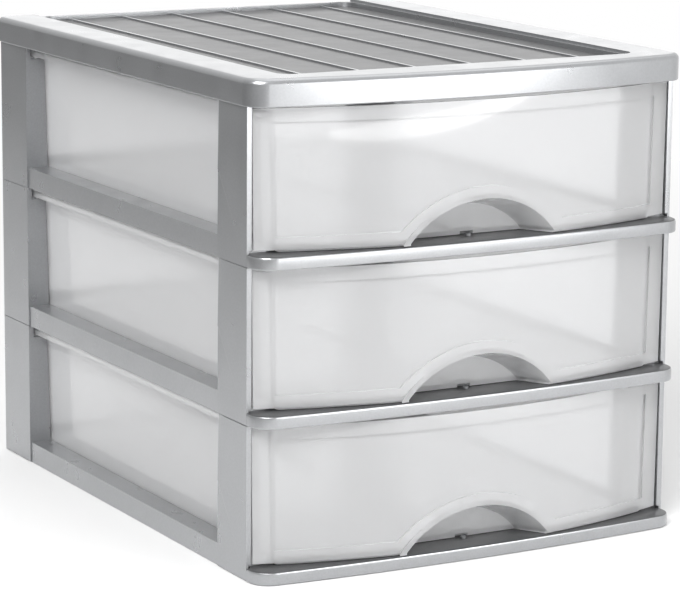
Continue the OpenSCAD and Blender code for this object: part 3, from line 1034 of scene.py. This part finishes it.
def add_camera():
    data = bpy.data.cameras.new("camera")
    data.lens = CAMERA_LENS
    data.sensor_width = 36
    data.shift_x = CAMERA_SHIFT
    data.clip_start = 0.05
    data.clip_end = 50
    camera = bpy.data.objects.new("camera", data)
    bpy.context.scene.collection.objects.link(camera)
    back = (Vector(CAMERA_AT) - Vector(CAMERA_TO)).normalized()
    right = Vector((0, 0, 1)).cross(back).normalized()
    up = back.cross(right)
    roll = math.radians(CAMERA_ROLL)
    tilted_right = right * math.cos(roll) + up * math.sin(roll)
    tilted_up = up * math.cos(roll) - right * math.sin(roll)
    turn = Matrix((tilted_right, tilted_up, back)).transposed().to_4x4()
    camera.matrix_world = Matrix.Translation(CAMERA_AT) @ turn
    bpy.context.scene.camera = camera


def add_lamp(name, at, to, size, watts, shape):
    data = bpy.data.lights.new(name, "AREA")
    data.shape = shape
    data.size, data.size_y = size
    data.energy = watts
    lamp = bpy.data.objects.new(name, data)
    bpy.context.scene.collection.objects.link(lamp)
    lamp.location = at
    lamp.visible_camera = False
    lamp.visible_transmission = False
    lamp.rotation_euler = (Vector(to) - Vector(at)).to_track_quat("-Z", "Y").to_euler()


def add_floor(colour):
    """Round floor, a hair below the box's foot."""
    points = [(0, 0, 0)] + [(x, y, 0) for x, y in arc(0, 0, FLOOR_REACH, 0, 354, 59)]
    faces = [(0, i, i % 60 + 1) for i in range(1, 61)]
    mesh = bpy.data.meshes.new("floor")
    mesh.from_pydata([(x * MM, y * MM, z - 0.0002) for x, y, z in points], [], faces)
    floor = link("floor", mesh)
    mesh.materials.append(floor_finish(colour))


def add_world():
    """Soft studio surround: pale, and darker on the side away from the lamps."""
    world = bpy.data.worlds.new("studio")
    world.use_nodes = True
    bpy.context.scene.world = world
    tree = world.node_tree
    back = tree.nodes["Background"]
    back.inputs["Color"].default_value = (1, 1, 1, 1)
    spot = tree.nodes.new("ShaderNodeTexCoord")
    lean = tree.nodes.new("ShaderNodeVectorMath")
    lean.operation = "DOT_PRODUCT"
    lean.inputs[1].default_value = SURROUND_LEAN
    fade = tree.nodes.new("ShaderNodeMapRange")
    fade.interpolation_type = "SMOOTHSTEP"
    for key, value in zip(("From Min", "From Max", "To Min", "To Max"), SURROUND_FADE):
        fade.inputs[key].default_value = value
    tree.links.new(spot.outputs["Generated"], lean.inputs[0])
    tree.links.new(lean.outputs["Value"], fade.inputs["Value"])
    tree.links.new(fade.outputs["Result"], back.inputs["Strength"])


class DRAWERBOX_OT_stage(bpy.types.Operator):
    """Add the pale floor, the soft light and the camera"""

    bl_idname = "drawerbox.stage"
    bl_label = "Stage"

    def execute(self, context):
        add_floor(context.scene.drawer_box_looks.floor)
        add_world()
        for lamp in LAMPS:
            add_lamp(*lamp)
        add_camera()
        context.scene.view_settings.view_transform = "Standard"
        return {"FINISHED"}


class DRAWERBOX_PT_panel(bpy.types.Panel):
    """Lists the pieces of the drawer box"""

    bl_label = "Drawer box"
    bl_idname = "DRAWERBOX_PT_panel"
    bl_space_type = "VIEW_3D"
    bl_region_type = "UI"
    bl_category = "Drawer box"

    def draw(self, context):
        for group in (context.scene.drawer_box_looks, context.scene.drawer_box_sizes):
            for key in group.__annotations__:
                self.layout.prop(group, key)
        for maker in MAKERS:
            self.layout.operator(maker.bl_idname)


MAKERS = (
    DRAWERBOX_OT_cover,
    DRAWERBOX_OT_decks,
    DRAWERBOX_OT_front_uprights,
    DRAWERBOX_OT_back_uprights,
    DRAWERBOX_OT_drawers,
    DRAWERBOX_OT_stage,
)
GROUPS = (DrawerBoxLooks, DrawerBoxSizes)


def register():
    for cls in GROUPS + MAKERS + (DRAWERBOX_PT_panel,):
        bpy.utils.register_class(cls)
    bpy.types.Scene.drawer_box_looks = bpy.props.PointerProperty(type=DrawerBoxLooks)
    bpy.types.Scene.drawer_box_sizes = bpy.props.PointerProperty(type=DrawerBoxSizes)


def unregister():
    del bpy.types.Scene.drawer_box_looks
    del bpy.types.Scene.drawer_box_sizes
    for cls in reversed(GROUPS + MAKERS + (DRAWERBOX_PT_panel,)):
        bpy.utils.unregister_class(cls)


def main():
    register()
    bpy.ops.drawerbox.cover()
    bpy.ops.drawerbox.decks()
    bpy.ops.drawerbox.front_uprights()
    bpy.ops.drawerbox.back_uprights()
    bpy.ops.drawerbox.drawers()
    bpy.ops.drawerbox.stage()


if __name__ == "__main__":
    main()
